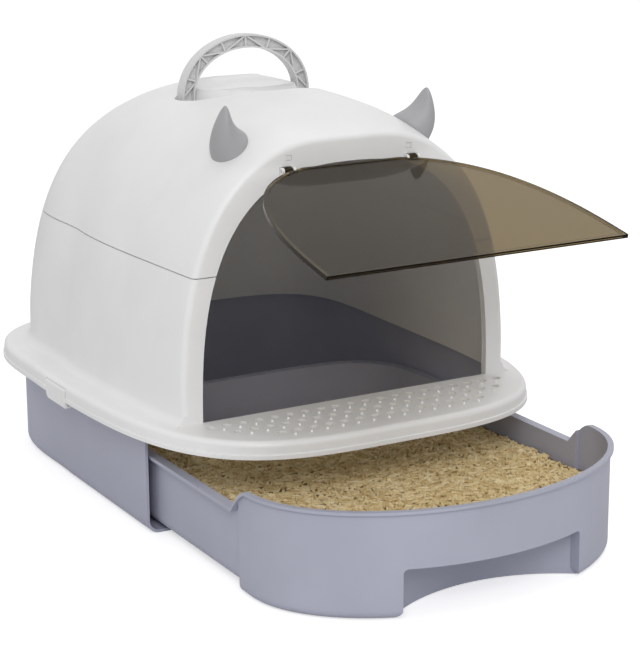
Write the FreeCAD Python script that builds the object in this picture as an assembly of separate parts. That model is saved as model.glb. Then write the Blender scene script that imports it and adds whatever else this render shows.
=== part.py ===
import FreeCAD, Part
import math
import os

# Covered litter box with a pull-out litter drawer, a smoked flap and a folding handle.
# Millimetres. X runs to the right, Y to the back and Z up. The origin is the centre of the tub's
# underside. The rest pose has the drawer pulled out, the flap swung up and the handle upright.

# Walls and clearances shared by the mouldings
WALL = 2.5
GAP = 0.3
OVERRUN = 2.0
PIN_CLEARANCE = 0.05
EDGE_SLACK = 0.05

# Tub
TUB_HALF_WIDTH = 174.0
TUB_FRONT = 175.0
TUB_REAR = 160.0
TUB_BOTTOM_ROUND = 12.0
TUB_ROUNDNESS_SHARE = 4.8
RUNNER_HEIGHT = 1.5
RUNNER_WIDTH = 5.0
RUNNER_PLACE = 70.0
CATCH_LENGTH = 38.0
CATCH_THICKNESS = 2.7

# Deck, which carries the porch and closes the tub
DECK_HEIGHT = 108.0
DECK_HALF_WIDTH = 198.0
DECK_FRONT = 308.0
DECK_REAR = 180.0
DECK_ROUNDNESS_SHARE = 3.6
SKIRT_DEPTH = 15.0
LIP_PROUD = 1.2
LIP_HEIGHT = 4.0
DECK_EDGE_ROUND = 5.0
FOOT_ROUND = 8.0
FOOT_STEPS = 5
FOOT_SWEEP_ANGLE = 70

# Porch holes and nubs
HOLE_DIAMETER = 8.0
HOLE_PITCH = 15.0
HOLE_ROW_PITCH = 20.0
FIRST_ROW_OFFSET = 15.0
NUB_DIAMETER = 3.4
NUB_HEIGHT = 1.6
PORCH_MARGIN = 17.0

# Hood
HOOD_HALF_WIDTH = 170.0
HOOD_FRONT = 222.0
HOOD_REAR = 155.0
HOOD_HEIGHT = 253.0
ARCH_HALF_WIDTH = 160.0
ARCH_HEIGHT = 231.0
SEAM_HEIGHT = 123.5
SEAM_GAP = 0.9
LAP_HEIGHT = 9.0
ARCH_EDGE_ROUND = 6.0
# How square the hood's curves are: side profile, plan and rear profile
ARCH_SHARE = 2.65
SIDE_RISE_SHARE = 1.95
SIDE_FALL_SHARE = 2.6
PLAN_SHARE = 4.5
REAR_RISE_SHARE = 4.4
REAR_FALL_SHARE = 1.15
CROWN_SHARE = 0.3

# Doorway in the hood's front
DOOR_HALF_WIDTH = 142.0
DOOR_HEIGHT = 208.0
DOOR_RETURN_DEPTH = 7.0

# Flap
FLAP_HINGE_HEIGHT = 205.5
FLAP_AHEAD = 2.6
FLAP_THICKNESS = 2.0
FLAP_OVERLAP = 2.0
FLAP_SIDE_GAP = 3.5
FLAP_TOP_HALF_WIDTH = 61.0
FLAP_FOOT_GAP = 4.0
FLAP_RIM_THICKNESS = 3.2
FLAP_RIM_WIDTH = 3.0
FLAP_RAISED_ANGLE = 78.5
BARREL_PLACE = 60.6
BARREL_RADIUS = 3.6
BARREL_LENGTH = 8.0
FLAP_PIN_RADIUS = 1.5
BARREL_END_ROUND = 2.0
BRACKET_PLATE = 2.2
BRACKET_NOSE_RADIUS = 2.7

# Handle, and the groove in the crown that it folds forward into
HANDLE_SETBACK = 189.0
HANDLE_PIVOT_HEIGHT = 229.0
HANDLE_HALF_WIDTH = 64.7
HANDLE_TOP = 294.8
HANDLE_BAND = 12.2
HANDLE_DEPTH = 12.0
HANDLE_RIM = 1.6
HANDLE_WEB = 2.0
HANDLE_RIB = 1.3
HANDLE_POST_ANGLES = (0, 23, 46, 71, 90)
HANDLE_PIN_RADIUS = 2.5
HANDLE_BOSS_RADIUS = 6.5
HANDLE_LEG_START = 242.0
HANDLE_PIN_SEAT = 6.0
RECESS_FLOOR = 221.5
RECESS_SIDE_GAP = 5.0
RECESS_FRONT_GAP = 1.6
RECESS_BEHIND = 16.0
RECESS_SHARE = 2.1
ISLAND_RADIUS = 46.0
ISLAND_STEP_HEIGHT = 250.0
ISLAND_FOOT_RADIUS = 51.2
ISLAND_FOOT_HEIGHT = 241.0

# Ears
EAR_PLACE = 88.9
EAR_SETBACK = 47.3
EAR_BASE_HEIGHT = 220.5
EAR_TILT = 43.5
EAR_HALF_SLOPE = 17.9
EAR_HALF_DEPTH = 22.6
EAR_TIP_X = 99.3
EAR_TIP_SETBACK = 34.6
EAR_TIP_HEIGHT = 257.4
EAR_BELLY = 6.0
EAR_POINT_SHARE = 0.6
EAR_ROOT_SHARE = 0.35
EAR_TIP_SHARE = 0.995
EAR_CLOSING_SHARE = 1.6
EAR_RINGS = 9
EAR_PEG_RADIUS = 4.0
EAR_PEG_LENGTH = 10.0
EAR_CLIP_RADIUS = 9.0
EAR_CLIP_THICKNESS = 2.4

# Side latches
LATCH_LENGTH = 44.0
LATCH_CENTRE = 41.0
LATCH_KNUCKLE_RADIUS = 3.6
LATCH_PIN_RADIUS = 1.5
LATCH_PLATE = 2.4
LATCH_HANG = 21.0
LATCH_HOOK_REACH = 12.0
LATCH_LUG_LENGTH = 4.0
LATCH_FRONT_GAP = 1.2
LATCH_CORNER = 6.0

# Litter drawer
DRAWER_TRAVEL = 154.0
DRAWER_HALF_WIDTH = 163.0
DRAWER_RIM_HEIGHT = 69.5
DRAWER_BOTTOM_ROUND = 11.0
DRAWER_FLOOR_GAP = 0.5
FRONT_HALF_WIDTH = 166.5
FRONT_DEPTH = 112.0
FRONT_CENTRE_AHEAD = 192.0
FRONT_RIM_HEIGHT = 89.6
FRONT_RIM_REACH = 2.6
FRONT_RIM_THICKNESS = 2.4
DRAWER_RIM_REACH = FRONT_HALF_WIDTH + FRONT_RIM_REACH - DRAWER_HALF_WIDTH
FRONT_STRAIGHT = 15.5
FRONT_BOTTOM_ROUND = 8.0
RIM_RISE_LENGTH = 23.0
RIM_RISE_BEHIND = 9.0
RIM_RISE_SHARE = 1.5
RIM_RISE_STEPS = 8
RIM_THICKNESS = 3.0
NOTCH_HALF_WIDTH = 83.5
NOTCH_HEIGHT = 42.0
NOTCH_DEPTH = 53.0
NOTCH_BACK_RADIUS = 148.0
NOTCH_TOP_ROUND = 4.0
NOTCH_FOOT_ROUND = 8.0
LITTER_LEVEL = 47.0
LITTER_REAR_LEVEL = 26.0
LITTER_SLOPE_LENGTH = 62.0

# Scoop, which lies on the floor behind the tub
SCOOP_PAN_LENGTH = 120.0
SCOOP_PAN_WIDTH = 100.0
SCOOP_WALL = 2.0
SCOOP_SIDE_HEIGHT = 38.0
SCOOP_FRONT_HEIGHT = 12.0
SCOOP_CORNER = 18.0
SCOOP_HANDLE_LENGTH = 120.0
SCOOP_HANDLE_ROOT = 26.0
SCOOP_HANDLE_END = 20.0
SCOOP_HANDLE_THICKNESS = 9.0
SCOOP_SLOT_LENGTH = 20.0
SCOOP_SLOT_WIDTH = 7.0
SCOOP_SLOT_PITCH = 15.0
SCOOP_ROW_PITCH = 29.0
SCOOP_BEHIND = 14.0
SCOOP_PLACE = 70.0

# Places worked out from the sizes above
FACE = -HOOD_FRONT
HINGE_Y = FACE - FLAP_AHEAD
HINGE_Z = DECK_HEIGHT + FLAP_HINGE_HEIGHT
HANDLE_Y = FACE + HANDLE_SETBACK
HANDLE_Z = DECK_HEIGHT + HANDLE_PIVOT_HEIGHT
DRAWER_BASE = WALL + RUNNER_HEIGHT + GAP
LATCH_FACE = DECK_HALF_WIDTH + LIP_PROUD
LATCH_X = LATCH_FACE - LATCH_KNUCKLE_RADIUS
LATCH_Z = DECK_HEIGHT - WALL - 2 * GAP - LATCH_KNUCKLE_RADIUS
LATCH_WINDOW_FRONT = -LATCH_CENTRE - LATCH_LENGTH / 2 - LATCH_FRONT_GAP
LATCH_WINDOW_REAR = -LATCH_CENTRE + LATCH_LENGTH / 2 + GAP


def vec(x, y, z):
    return FreeCAD.Vector(x, y, z)


def block(x0, x1, y0, y1, z0, z1):
    """A box between two opposite corners."""
    corner = vec(min(x0, x1), min(y0, y1), min(z0, z1))
    return Part.makeBox(abs(x1 - x0), abs(y1 - y0), abs(z1 - z0), corner)


def rod_x(radius, x0, x1, y, z):
    """A round bar along X."""
    return Part.makeCylinder(radius, abs(x1 - x0), vec(min(x0, x1), y, z), vec(1, 0, 0))


def rod_y(radius, y0, y1, x, z):
    """A round bar along Y."""
    return Part.makeCylinder(radius, abs(y1 - y0), vec(x, min(y0, y1), z), vec(0, 1, 0))


def smooth_edge(points, closed=False):
    """One smooth edge through the points."""
    curve = Part.BSplineCurve()
    curve.interpolate(points, PeriodicFlag=closed)
    return curve.toShape()


def prism(edges, direction):
    """The solid that a closed outline sweeps along a vector."""
    return Part.Face(Part.Wire(edges)).extrude(direction)


def power(value, exponent):
    return max(value, 0.0) ** exponent


def oval_points(half_x, half_y, squareness, start, end, count):
    """Points of a superellipse, with angles measured from +Y towards +X."""
    points = []
    for i in range(count + 1):
        angle = math.radians(start + (end - start) * i / count)
        s = math.sin(angle)
        c = math.cos(angle)
        x = half_x * math.copysign(power(abs(s), 2 / squareness), s)
        y = half_y * math.copysign(power(abs(c), 2 / squareness), c)
        points.append((x, y))
    return points


def plan_ring(half_x, front, rear, squareness, z, count=16):
    """A closed smooth outline at height z, whose front and rear reach differ."""
    rear_points = oval_points(half_x, rear, squareness, -90, 90, count)
    front_points = oval_points(half_x, front, squareness, 90, 270, count)
    points = rear_points[:-1] + front_points[:-1]
    return smooth_edge([vec(x, y, z) for x, y in points], True)


def plan_slab(half_x, front, rear, squareness, z0, z1):
    """A flat slab with such an outline."""
    return prism([plan_ring(half_x, front, rear, squareness, z0)], vec(0, 0, z1 - z0))


def side_profile(places, x0, x1):
    """The solid that a straight-sided outline of (y, z) places sweeps from x0 to x1."""
    points = [vec(x0, y, z) for y, z in places]
    return Part.Face(Part.makePolygon(points + points[:1])).extrude(vec(x1 - x0, 0, 0))


def largest_solid(shape):
    return max(shape.Solids, key=lambda solid: solid.Volume)


def rounded(shape, radius, wanted):
    """Rounds the edges that the test picks, or leaves them sharp where they can't be rounded."""
    edges = [edge for edge in shape.Edges if wanted(edge)]
    if not edges:
        return shape
    try:
        result = shape.makeFillet(radius, edges)
    except Exception:
        return shape
    return result if result.isValid() and result.Volume > 0 else shape


def joined(shape):
    """Merges faces that lie in one surface, where that can be done."""
    try:
        merged = shape.removeSplitter()
    except Exception:
        return shape
    return merged if merged.isValid() else shape


def lies_at_height(edge, z):
    box = edge.BoundBox
    return abs(box.ZMin - z) < EDGE_SLACK and abs(box.ZMax - z) < EDGE_SLACK


# The tub: a deep tray with an open front, straight sides and a rounded rear


def tray_outline(half_x, front, rear, squareness, z):
    """Straight sides from the front edge, and a rounded rear."""
    rear_arc = [vec(x, y, z) for x, y in oval_points(half_x, rear, squareness, -90, 90, 24)]
    left_front = vec(-half_x, -front, z)
    right_front = vec(half_x, -front, z)
    return [
        Part.makeLine(left_front, rear_arc[0]),
        smooth_edge(rear_arc),
        Part.makeLine(rear_arc[-1], right_front),
        Part.makeLine(right_front, left_front),
    ]


def tray_block(half_x, front, rear, z0, z1, round_radius):
    """A solid tray shape whose bottom edge is rounded, apart from its front."""
    body = prism(tray_outline(half_x, front, rear, TUB_ROUNDNESS_SHARE, z0), vec(0, 0, z1 - z0))
    if round_radius <= 0:
        return body
    front_slack = front - round_radius / 10
    return rounded(
        body,
        round_radius,
        lambda edge: lies_at_height(edge, z0) and edge.BoundBox.YMax > -front_slack,
    )


def make_tub():
    rim = DECK_HEIGHT - WALL - GAP
    outer = tray_block(TUB_HALF_WIDTH, TUB_FRONT, TUB_REAR, 0, rim, TUB_BOTTOM_ROUND)
    inner = tray_block(
        TUB_HALF_WIDTH - WALL,
        TUB_FRONT + OVERRUN,
        TUB_REAR - WALL,
        WALL,
        rim + OVERRUN,
        TUB_BOTTOM_ROUND - WALL,
    )
    tub = outer.cut(inner)
    runner_rear = TUB_REAR - TUB_BOTTOM_ROUND * 2
    for side in (-1, 1):
        x = side * RUNNER_PLACE
        half = RUNNER_WIDTH / 2
        runner = block(x - half, x + half, -TUB_FRONT + WALL, runner_rear, WALL / 2, WALL + RUNNER_HEIGHT)
        tub = tub.fuse(runner)
        tub = tub.fuse(make_catch(side))
    return joined(tub)


def make_catch(side):
    """The ledge on the tub's wall that a latch hooks under."""
    top = DECK_HEIGHT - LATCH_HANG + LATCH_PLATE + GAP * 2 + CATCH_THICKNESS
    half = CATCH_LENGTH / 2
    reach = LATCH_X - GAP
    y = -LATCH_CENTRE
    root = TUB_HALF_WIDTH - WALL / 2
    return block(side * root, side * reach, y - half, y + half, top - CATCH_THICKNESS, top)


# The hood's form, shared by its two halves


def arch_half_width(z):
    """Half the width of the hood's flat front at a height above the deck."""
    share = min(max(z / ARCH_HEIGHT, 0), 1)
    return ARCH_HALF_WIDTH * power(1 - share**ARCH_SHARE, 1 / ARCH_SHARE)


def dome_sizes(z):
    """The hood's half width, front reach and rear reach at a height above the deck."""
    share = max(z / HOOD_HEIGHT, 0)
    side = HOOD_HALF_WIDTH * power(1 - share**SIDE_RISE_SHARE, 1 / SIDE_FALL_SHARE)
    rear = HOOD_REAR * power(1 - share**REAR_RISE_SHARE, 1 / REAR_FALL_SHARE)
    if z < ARCH_HEIGHT:
        ratio = min(arch_half_width(z) / side, 1)
        front = HOOD_FRONT / power(1 - ratio**PLAN_SHARE, 1 / PLAN_SHARE)
    else:
        left = (HOOD_HEIGHT - z) / (HOOD_HEIGHT - ARCH_HEIGHT)
        front = HOOD_FRONT * power(left, CROWN_SHARE)
    return side, front, rear


def dome_ring(z, inset):
    """The hood's outline at a height, drawn in by the inset."""
    stretch = HOOD_HEIGHT / (HOOD_HEIGHT - inset)
    side, front, rear = dome_sizes(z * stretch)
    rear = max(rear - inset, inset / 8)
    return plan_ring(side - inset, front - inset, rear, PLAN_SHARE, DECK_HEIGHT + z)


def dome_block(inset, low, high, steps):
    """The solid hood form between two heights, cut flat at the front."""
    rings = []
    for i in range(steps + 1):
        z = low + (high - low) * math.sin(math.pi / 2 * i / steps)
        rings.append(Part.Wire([dome_ring(z, inset)]))
    body = Part.makeLoft(rings, True, False)
    reach = 3 * HOOD_FRONT
    floor = DECK_HEIGHT + low - OVERRUN
    roof = DECK_HEIGHT + high + OVERRUN
    return body.cut(block(-reach, reach, FACE + inset, FACE - reach, floor, roof))


def arch_outline(half_width, height, y, floor=0.0, count=28):
    """An arch that stands on the deck: a superellipse with a straight foot."""
    points = []
    for x, z in oval_points(half_width, height, ARCH_SHARE, -90, 90, count):
        points.append(vec(x, y, DECK_HEIGHT + z))
    low = DECK_HEIGHT - floor
    foot_left = vec(-half_width, y, low)
    foot_right = vec(half_width, y, low)
    edges = [smooth_edge(points)]
    if floor > 0:
        edges.append(Part.makeLine(points[-1], foot_right))
        edges.append(Part.makeLine(foot_right, foot_left))
        edges.append(Part.makeLine(foot_left, points[0]))
    else:
        edges.append(Part.makeLine(points[-1], points[0]))
    return edges


def arch_prism(grow, y0, y1, floor=0.0):
    """The doorway's arch, grown or shrunk, between two planes."""
    edges = arch_outline(DOOR_HALF_WIDTH + grow, DOOR_HEIGHT + grow, y0, floor)
    return prism(edges, vec(0, y1 - y0, 0))


def make_hood_shell():
    """The whole hood as one wall, before it is split at its seam."""
    outer = dome_block(0.0, -WALL, HOOD_HEIGHT - WALL / 8, 13)
    outer = rounded(outer, ARCH_EDGE_ROUND, is_front_arch_edge)
    inner = dome_block(WALL, -WALL - OVERRUN, HOOD_HEIGHT - WALL - WALL / 8, 13)
    shell = outer.cut(inner)
    lining = arch_prism(WALL, FACE, FACE + DOOR_RETURN_DEPTH, WALL)
    shell = shell.fuse(lining)
    doorway = arch_prism(0.0, FACE - OVERRUN, FACE + DOOR_RETURN_DEPTH + OVERRUN, WALL + OVERRUN)
    return outer, inner, shell.cut(doorway)


def is_front_arch_edge(edge):
    box = edge.BoundBox
    on_face = abs(box.YMin - FACE) < WALL / 10 and abs(box.YMax - FACE) < WALL / 10
    return on_face and box.ZLength > WALL


# Lower hood: deck, skirt and the lower half of the hood's wall


def porch_places():
    """Hole places as (x, y), row by row, inside the porch's edge."""
    places = []
    row = 0
    while True:
        y = FACE - FIRST_ROW_OFFSET - row * HOLE_ROW_PITCH
        depth = abs(y) / (DECK_FRONT - PORCH_MARGIN)
        if depth >= 1:
            return places
        half = DECK_HALF_WIDTH - PORCH_MARGIN
        reach = half * power(1 - depth**DECK_ROUNDNESS_SHARE, 1 / DECK_ROUNDNESS_SHARE)
        count = int(reach / HOLE_PITCH - 0.5)
        for k in range(-count - 1, count + 1):
            places.append(((k + 0.5) * HOLE_PITCH, y))
        row += 1


def make_deck():
    top = DECK_HEIGHT
    low = top - SKIRT_DEPTH
    deck = plan_slab(DECK_HALF_WIDTH, DECK_FRONT, DECK_REAR, DECK_ROUNDNESS_SHARE, low, top)
    deck = rounded(deck, DECK_EDGE_ROUND, lambda edge: lies_at_height(edge, top))
    lip = plan_slab(
        DECK_HALF_WIDTH + LIP_PROUD,
        DECK_FRONT + LIP_PROUD,
        DECK_REAR + LIP_PROUD,
        DECK_ROUNDNESS_SHARE,
        low,
        low + LIP_HEIGHT,
    )
    lip = rounded(lip, LIP_PROUD / 2, lambda edge: lies_at_height(edge, low + LIP_HEIGHT))
    hollow = plan_slab(
        DECK_HALF_WIDTH - WALL,
        DECK_FRONT - WALL,
        DECK_REAR - WALL,
        DECK_ROUNDNESS_SHARE,
        low - OVERRUN,
        top - WALL,
    )
    deck = deck.fuse(lip).cut(hollow)
    return deck.cut(porch_cuts()).fuse(porch_nubs())


def porch_cuts():
    radius = HOLE_DIAMETER / 2
    height = WALL + 2 * OVERRUN
    holes = []
    for x, y in porch_places():
        holes.append(Part.makeCylinder(radius, height, vec(x, y, DECK_HEIGHT - WALL - OVERRUN)))
    return Part.makeCompound(holes)


def porch_nubs():
    """Low nubs in the middle of each square of four holes."""
    places = set((round(x, 3), round(y, 3)) for x, y in porch_places())
    nubs = []
    for x, y in sorted(places):
        beside = (round(x + HOLE_PITCH, 3), y)
        if beside not in places:
            continue
        middle = vec(x + HOLE_PITCH / 2, y - HOLE_ROW_PITCH / 2, DECK_HEIGHT - WALL / 2)
        depth = abs(middle.y) / (DECK_FRONT - PORCH_MARGIN)
        if depth >= 1:
            continue
        nubs.append(Part.makeCone(NUB_DIAMETER / 2, NUB_DIAMETER / 4, WALL / 2 + NUB_HEIGHT, middle))
    return Part.makeCompound(nubs)


def make_lap_ring():
    """The tongue that stands up inside the upper hood and lines the seam."""
    low = SEAM_HEIGHT - LAP_HEIGHT
    high = SEAM_HEIGHT + LAP_HEIGHT
    root = dome_block(WALL / 2, low, SEAM_HEIGHT - SEAM_GAP, 3)
    tongue = dome_block(WALL + GAP, low + GAP, high, 3)
    hollow = dome_block(2 * WALL, low - OVERRUN, high + OVERRUN, 3)
    ring = root.fuse(tongue).cut(hollow)
    reach = 2 * HOOD_HALF_WIDTH
    front_y = FACE + DOOR_RETURN_DEPTH * 3
    return ring.cut(block(-reach, reach, FACE - OVERRUN, front_y, DECK_HEIGHT, DECK_HEIGHT + HOOD_HEIGHT))


def deck_opening():
    """The hole through the deck inside the hood, up to the doorway's sill."""
    low = DECK_HEIGHT - WALL - OVERRUN
    side, front, rear = dome_sizes(0.0)
    middle = WALL / 2
    hole = plan_slab(side - middle, front - middle, rear - middle, PLAN_SHARE, low, DECK_HEIGHT + OVERRUN)
    reach = 2 * DECK_FRONT
    sill = FACE + WALL / 2
    return hole.cut(block(-reach, reach, sill, -reach, low - OVERRUN, DECK_HEIGHT + OVERRUN))


def latch_lugs(side):
    """Two lugs under the deck's edge that hold a latch's pin."""
    near = side * (LATCH_X - LATCH_KNUCKLE_RADIUS)
    far = side * (DECK_HALF_WIDTH - WALL / 2)
    low = LATCH_Z - LATCH_KNUCKLE_RADIUS
    high = DECK_HEIGHT - WALL / 2
    front = block(near, far, LATCH_WINDOW_FRONT - LATCH_LUG_LENGTH, LATCH_WINDOW_FRONT, low, high)
    rear = block(near, far, LATCH_WINDOW_REAR, LATCH_WINDOW_REAR + LATCH_LUG_LENGTH, low, high)
    return front, rear


def latch_window(side):
    """The notch in the skirt where a latch sits, below the deck's whole top."""
    return block(
        side * (LATCH_X - LATCH_KNUCKLE_RADIUS - GAP),
        side * (LATCH_FACE + OVERRUN),
        LATCH_WINDOW_FRONT,
        LATCH_WINDOW_REAR,
        DECK_HEIGHT - SKIRT_DEPTH - OVERRUN,
        LATCH_Z + LATCH_KNUCKLE_RADIUS + GAP,
    )


def foot_flare():
    """The soft concave foot that blends the hood's wall into the deck."""
    rings = []
    for i in range(FOOT_STEPS + 1):
        angle = math.radians(FOOT_SWEEP_ANGLE * min(i / (FOOT_STEPS - 1), 1))
        z = FOOT_ROUND * (1 - math.cos(angle))
        grow = FOOT_ROUND * (1 - math.sin(angle))
        if i == FOOT_STEPS:
            z = FOOT_ROUND
            grow = -WALL / 5
        side, front, rear = dome_sizes(z)
        outline = plan_ring(side + grow, front + grow, rear + grow, PLAN_SHARE, DECK_HEIGHT + z)
        rings.append(Part.Wire([outline]))
    flare = Part.makeLoft(rings, True, True)
    side, front, rear = dome_sizes(0.0)
    grow = FOOT_ROUND
    low = DECK_HEIGHT - WALL / 2
    root = plan_slab(side + grow, front + grow, rear + grow, PLAN_SHARE, low, DECK_HEIGHT)
    hollow = dome_block(WALL / 2, -WALL - OVERRUN, FOOT_ROUND + OVERRUN, 3)
    reach = 2 * HOOD_FRONT
    roof = DECK_HEIGHT + FOOT_ROUND + OVERRUN
    ahead = block(-reach, reach, FACE, -reach, low - OVERRUN, roof)
    doorway = arch_prism(WALL / 2, FACE - OVERRUN, FACE + DOOR_RETURN_DEPTH)
    return flare.fuse(root).cut(hollow).cut(ahead).cut(doorway)


def make_lower_hood(shell):
    seam = DECK_HEIGHT + SEAM_HEIGHT - SEAM_GAP / 2
    reach = 2 * HOOD_FRONT
    walls = shell.common(block(-reach, reach, -reach, reach, DECK_HEIGHT - WALL - OVERRUN, seam))
    deck = make_deck().cut(deck_opening())
    body = deck.fuse(walls).fuse(foot_flare()).fuse(make_lap_ring())
    for side in (-1, 1):
        for lug in latch_lugs(side):
            body = body.fuse(lug)
        body = body.cut(latch_window(side))
        front = LATCH_WINDOW_FRONT - LATCH_LUG_LENGTH - OVERRUN
        rear = LATCH_WINDOW_REAR + LATCH_LUG_LENGTH + OVERRUN
        body = body.cut(rod_y(LATCH_PIN_RADIUS, front, rear, side * LATCH_X, LATCH_Z))
    return largest_solid(body)


# Upper hood: crown, handle groove, hinge seats and ear holes


def recess_prism(grow, z0, z1):
    """The plan of the groove: a half oval in front of the handle's pivots, and room behind them."""
    half_x = HANDLE_HALF_WIDTH + RECESS_SIDE_GAP + grow
    front = HANDLE_TOP - HANDLE_PIVOT_HEIGHT + RECESS_FRONT_GAP + grow
    slab = plan_slab(half_x, front, RECESS_BEHIND + grow, RECESS_SHARE, z0, z1)
    slab.translate(vec(0, HANDLE_Y, 0))
    return slab


def island_form(inset, low):
    """The crown's middle, which the folded handle lies round: a low step, then a slope."""
    crest = ISLAND_RADIUS - inset
    foot = ISLAND_FOOT_RADIUS - inset
    step = DECK_HEIGHT + ISLAND_STEP_HEIGHT - inset
    slope_foot = DECK_HEIGHT + ISLAND_FOOT_HEIGHT - inset
    top = DECK_HEIGHT + HOOD_HEIGHT + OVERRUN
    places = ((0, low), (foot, low), (foot, slope_foot), (crest, step), (crest, top), (0, top))
    points = [vec(r, HANDLE_Y, z) for r, z in places]
    profile = Part.Face(Part.makePolygon(points + points[:1]))
    return profile.revolve(vec(0, HANDLE_Y, 0), vec(0, 0, 1), 360)


def ear_axis(side, outer):
    """Where the ear's peg leaves the hood's surface, and the peg's direction."""
    tilt = math.radians(EAR_TILT)
    lean = vec(side * math.sin(tilt), 0, math.cos(tilt))
    base = vec(side * EAR_PLACE, FACE + EAR_SETBACK, DECK_HEIGHT + EAR_BASE_HEIGHT)
    reach = HOOD_HALF_WIDTH / 2
    inside = Part.makeLine(base - lean * reach, base + lean * reach).common(outer)
    surface = max((vertex.Point for vertex in inside.Vertexes), key=lambda point: point.dot(lean))
    return surface, lean


def make_upper_hood(outer, inner, shell):
    seam = DECK_HEIGHT + SEAM_HEIGHT + SEAM_GAP / 2
    reach = 2 * HOOD_FRONT
    top = DECK_HEIGHT + HOOD_HEIGHT + OVERRUN
    floor = DECK_HEIGHT + RECESS_FLOOR
    crown = shell.common(block(-reach, reach, -reach, reach, seam, top))
    pocket = recess_prism(WALL, floor - WALL, top).common(outer)
    groove = recess_prism(0.0, floor, top).cut(island_form(0.0, floor - OVERRUN))
    core = island_form(WALL, floor - WALL - OVERRUN).common(inner)
    crown = crown.fuse(pocket.cut(core)).cut(groove)
    wall_x = HANDLE_HALF_WIDTH + RECESS_SIDE_GAP
    for side in (-1, 1):
        near = side * (wall_x + WALL / 2)
        far = side * (wall_x + HANDLE_PIN_SEAT)
        boss = rod_x(HANDLE_BOSS_RADIUS, near, far, HANDLE_Y, HANDLE_Z)
        crown = crown.fuse(boss.common(outer))
        start = side * (HANDLE_HALF_WIDTH - OVERRUN)
        end = side * (wall_x + HANDLE_PIN_SEAT - WALL / 2)
        crown = crown.cut(rod_x(HANDLE_PIN_RADIUS, start, end, HANDLE_Y, HANDLE_Z))
        crown = crown.cut(hinge_seat(side)).cut(bracket_window(side))
        surface, lean = ear_axis(side, outer)
        half = 1.5 * EAR_PEG_LENGTH
        crown = crown.cut(Part.makeCylinder(EAR_PEG_RADIUS + GAP, 2 * half, surface - lean * half, lean))
    return largest_solid(crown)


def hinge_seat(side):
    """The half-round seat behind the flap's barrel, and slots for its bracket's plates."""
    x = side * BARREL_PLACE
    half = BARREL_LENGTH / 2
    seat = rod_x(BARREL_RADIUS + 2 * GAP, x - half - GAP, x + half + GAP, HINGE_Y, HINGE_Z)
    back = FACE + DOOR_RETURN_DEPTH + OVERRUN
    low = HINGE_Z - BRACKET_NOSE_RADIUS - GAP
    high = HINGE_Z + BRACKET_NOSE_RADIUS + GAP
    for end in (-1, 1):
        near = x + end * half
        far = x + end * (half + BRACKET_PLATE + 2 * GAP)
        seat = seat.fuse(block(near, far, FACE - OVERRUN, back, low, high))
    return seat


def bracket_window(side):
    """The small window in the face that the bracket's snap shows in."""
    low = HINGE_Z + BARREL_RADIUS + 2 * BRACKET_PLATE
    half = BARREL_LENGTH / 3
    return block(
        side * (BARREL_PLACE - half - BRACKET_PLATE),
        side * (BARREL_PLACE + half - BRACKET_PLATE),
        FACE - OVERRUN,
        FACE + WALL + GAP,
        low,
        low + 2 * BRACKET_PLATE,
    )


# The flap, its brackets and its pins


def raised(shape):
    """Turns a hanging piece of the flap up about its hinge."""
    shape.rotate(vec(0, HINGE_Y, HINGE_Z), vec(1, 0, 0), -FLAP_RAISED_ANGLE)
    return shape


def flap_sheet(grow, thickness):
    """The flap's outline as a hanging sheet: an arch, cut straight at its top and foot."""
    y = HINGE_Y - thickness / 2
    half = DOOR_HALF_WIDTH - FLAP_SIDE_GAP + grow
    outline = arch_outline(half, DOOR_HEIGHT + FLAP_OVERLAP + grow, y)
    sheet = prism(outline, vec(0, thickness, 0))
    reach = 2 * DOOR_HALF_WIDTH
    low = DECK_HEIGHT + FLAP_FOOT_GAP - grow
    keep = block(-reach, reach, y - OVERRUN, y + thickness + OVERRUN, low, HINGE_Z + grow)
    return sheet.common(keep)


def make_flap():
    sheet = flap_sheet(0.0, FLAP_THICKNESS)
    hole = flap_sheet(-FLAP_RIM_WIDTH, FLAP_RIM_THICKNESS + OVERRUN)
    flap = sheet.fuse(flap_sheet(0.0, FLAP_RIM_THICKNESS).cut(hole))
    clear = BARREL_LENGTH / 2 + BRACKET_PLATE + 2 * GAP
    drop = BARREL_RADIUS + 2 * GAP
    half = BARREL_LENGTH / 2
    neck_half = half - BARREL_END_ROUND
    thick = FLAP_RIM_THICKNESS / 2
    neck_low = HINGE_Z - drop - FLAP_RIM_WIDTH
    top = HINGE_Z + drop
    for side in (-1, 1):
        x = side * BARREL_PLACE
        corner = block(x - clear, x + clear, HINGE_Y - drop, HINGE_Y + drop, HINGE_Z - drop, top)
        barrel = rod_x(BARREL_RADIUS, x - half, x + half, HINGE_Y, HINGE_Z)
        barrel = rounded(barrel, BARREL_END_ROUND, lambda edge: edge.BoundBox.XLength < EDGE_SLACK)
        neck = block(x - neck_half, x + neck_half, HINGE_Y - thick, HINGE_Y + thick, neck_low, HINGE_Z)
        bore = rod_x(FLAP_PIN_RADIUS + PIN_CLEARANCE, x - clear, x + clear, HINGE_Y, HINGE_Z)
        flap = flap.cut(corner).fuse(barrel).fuse(neck).cut(bore)
    return raised(largest_solid(flap))


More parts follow.
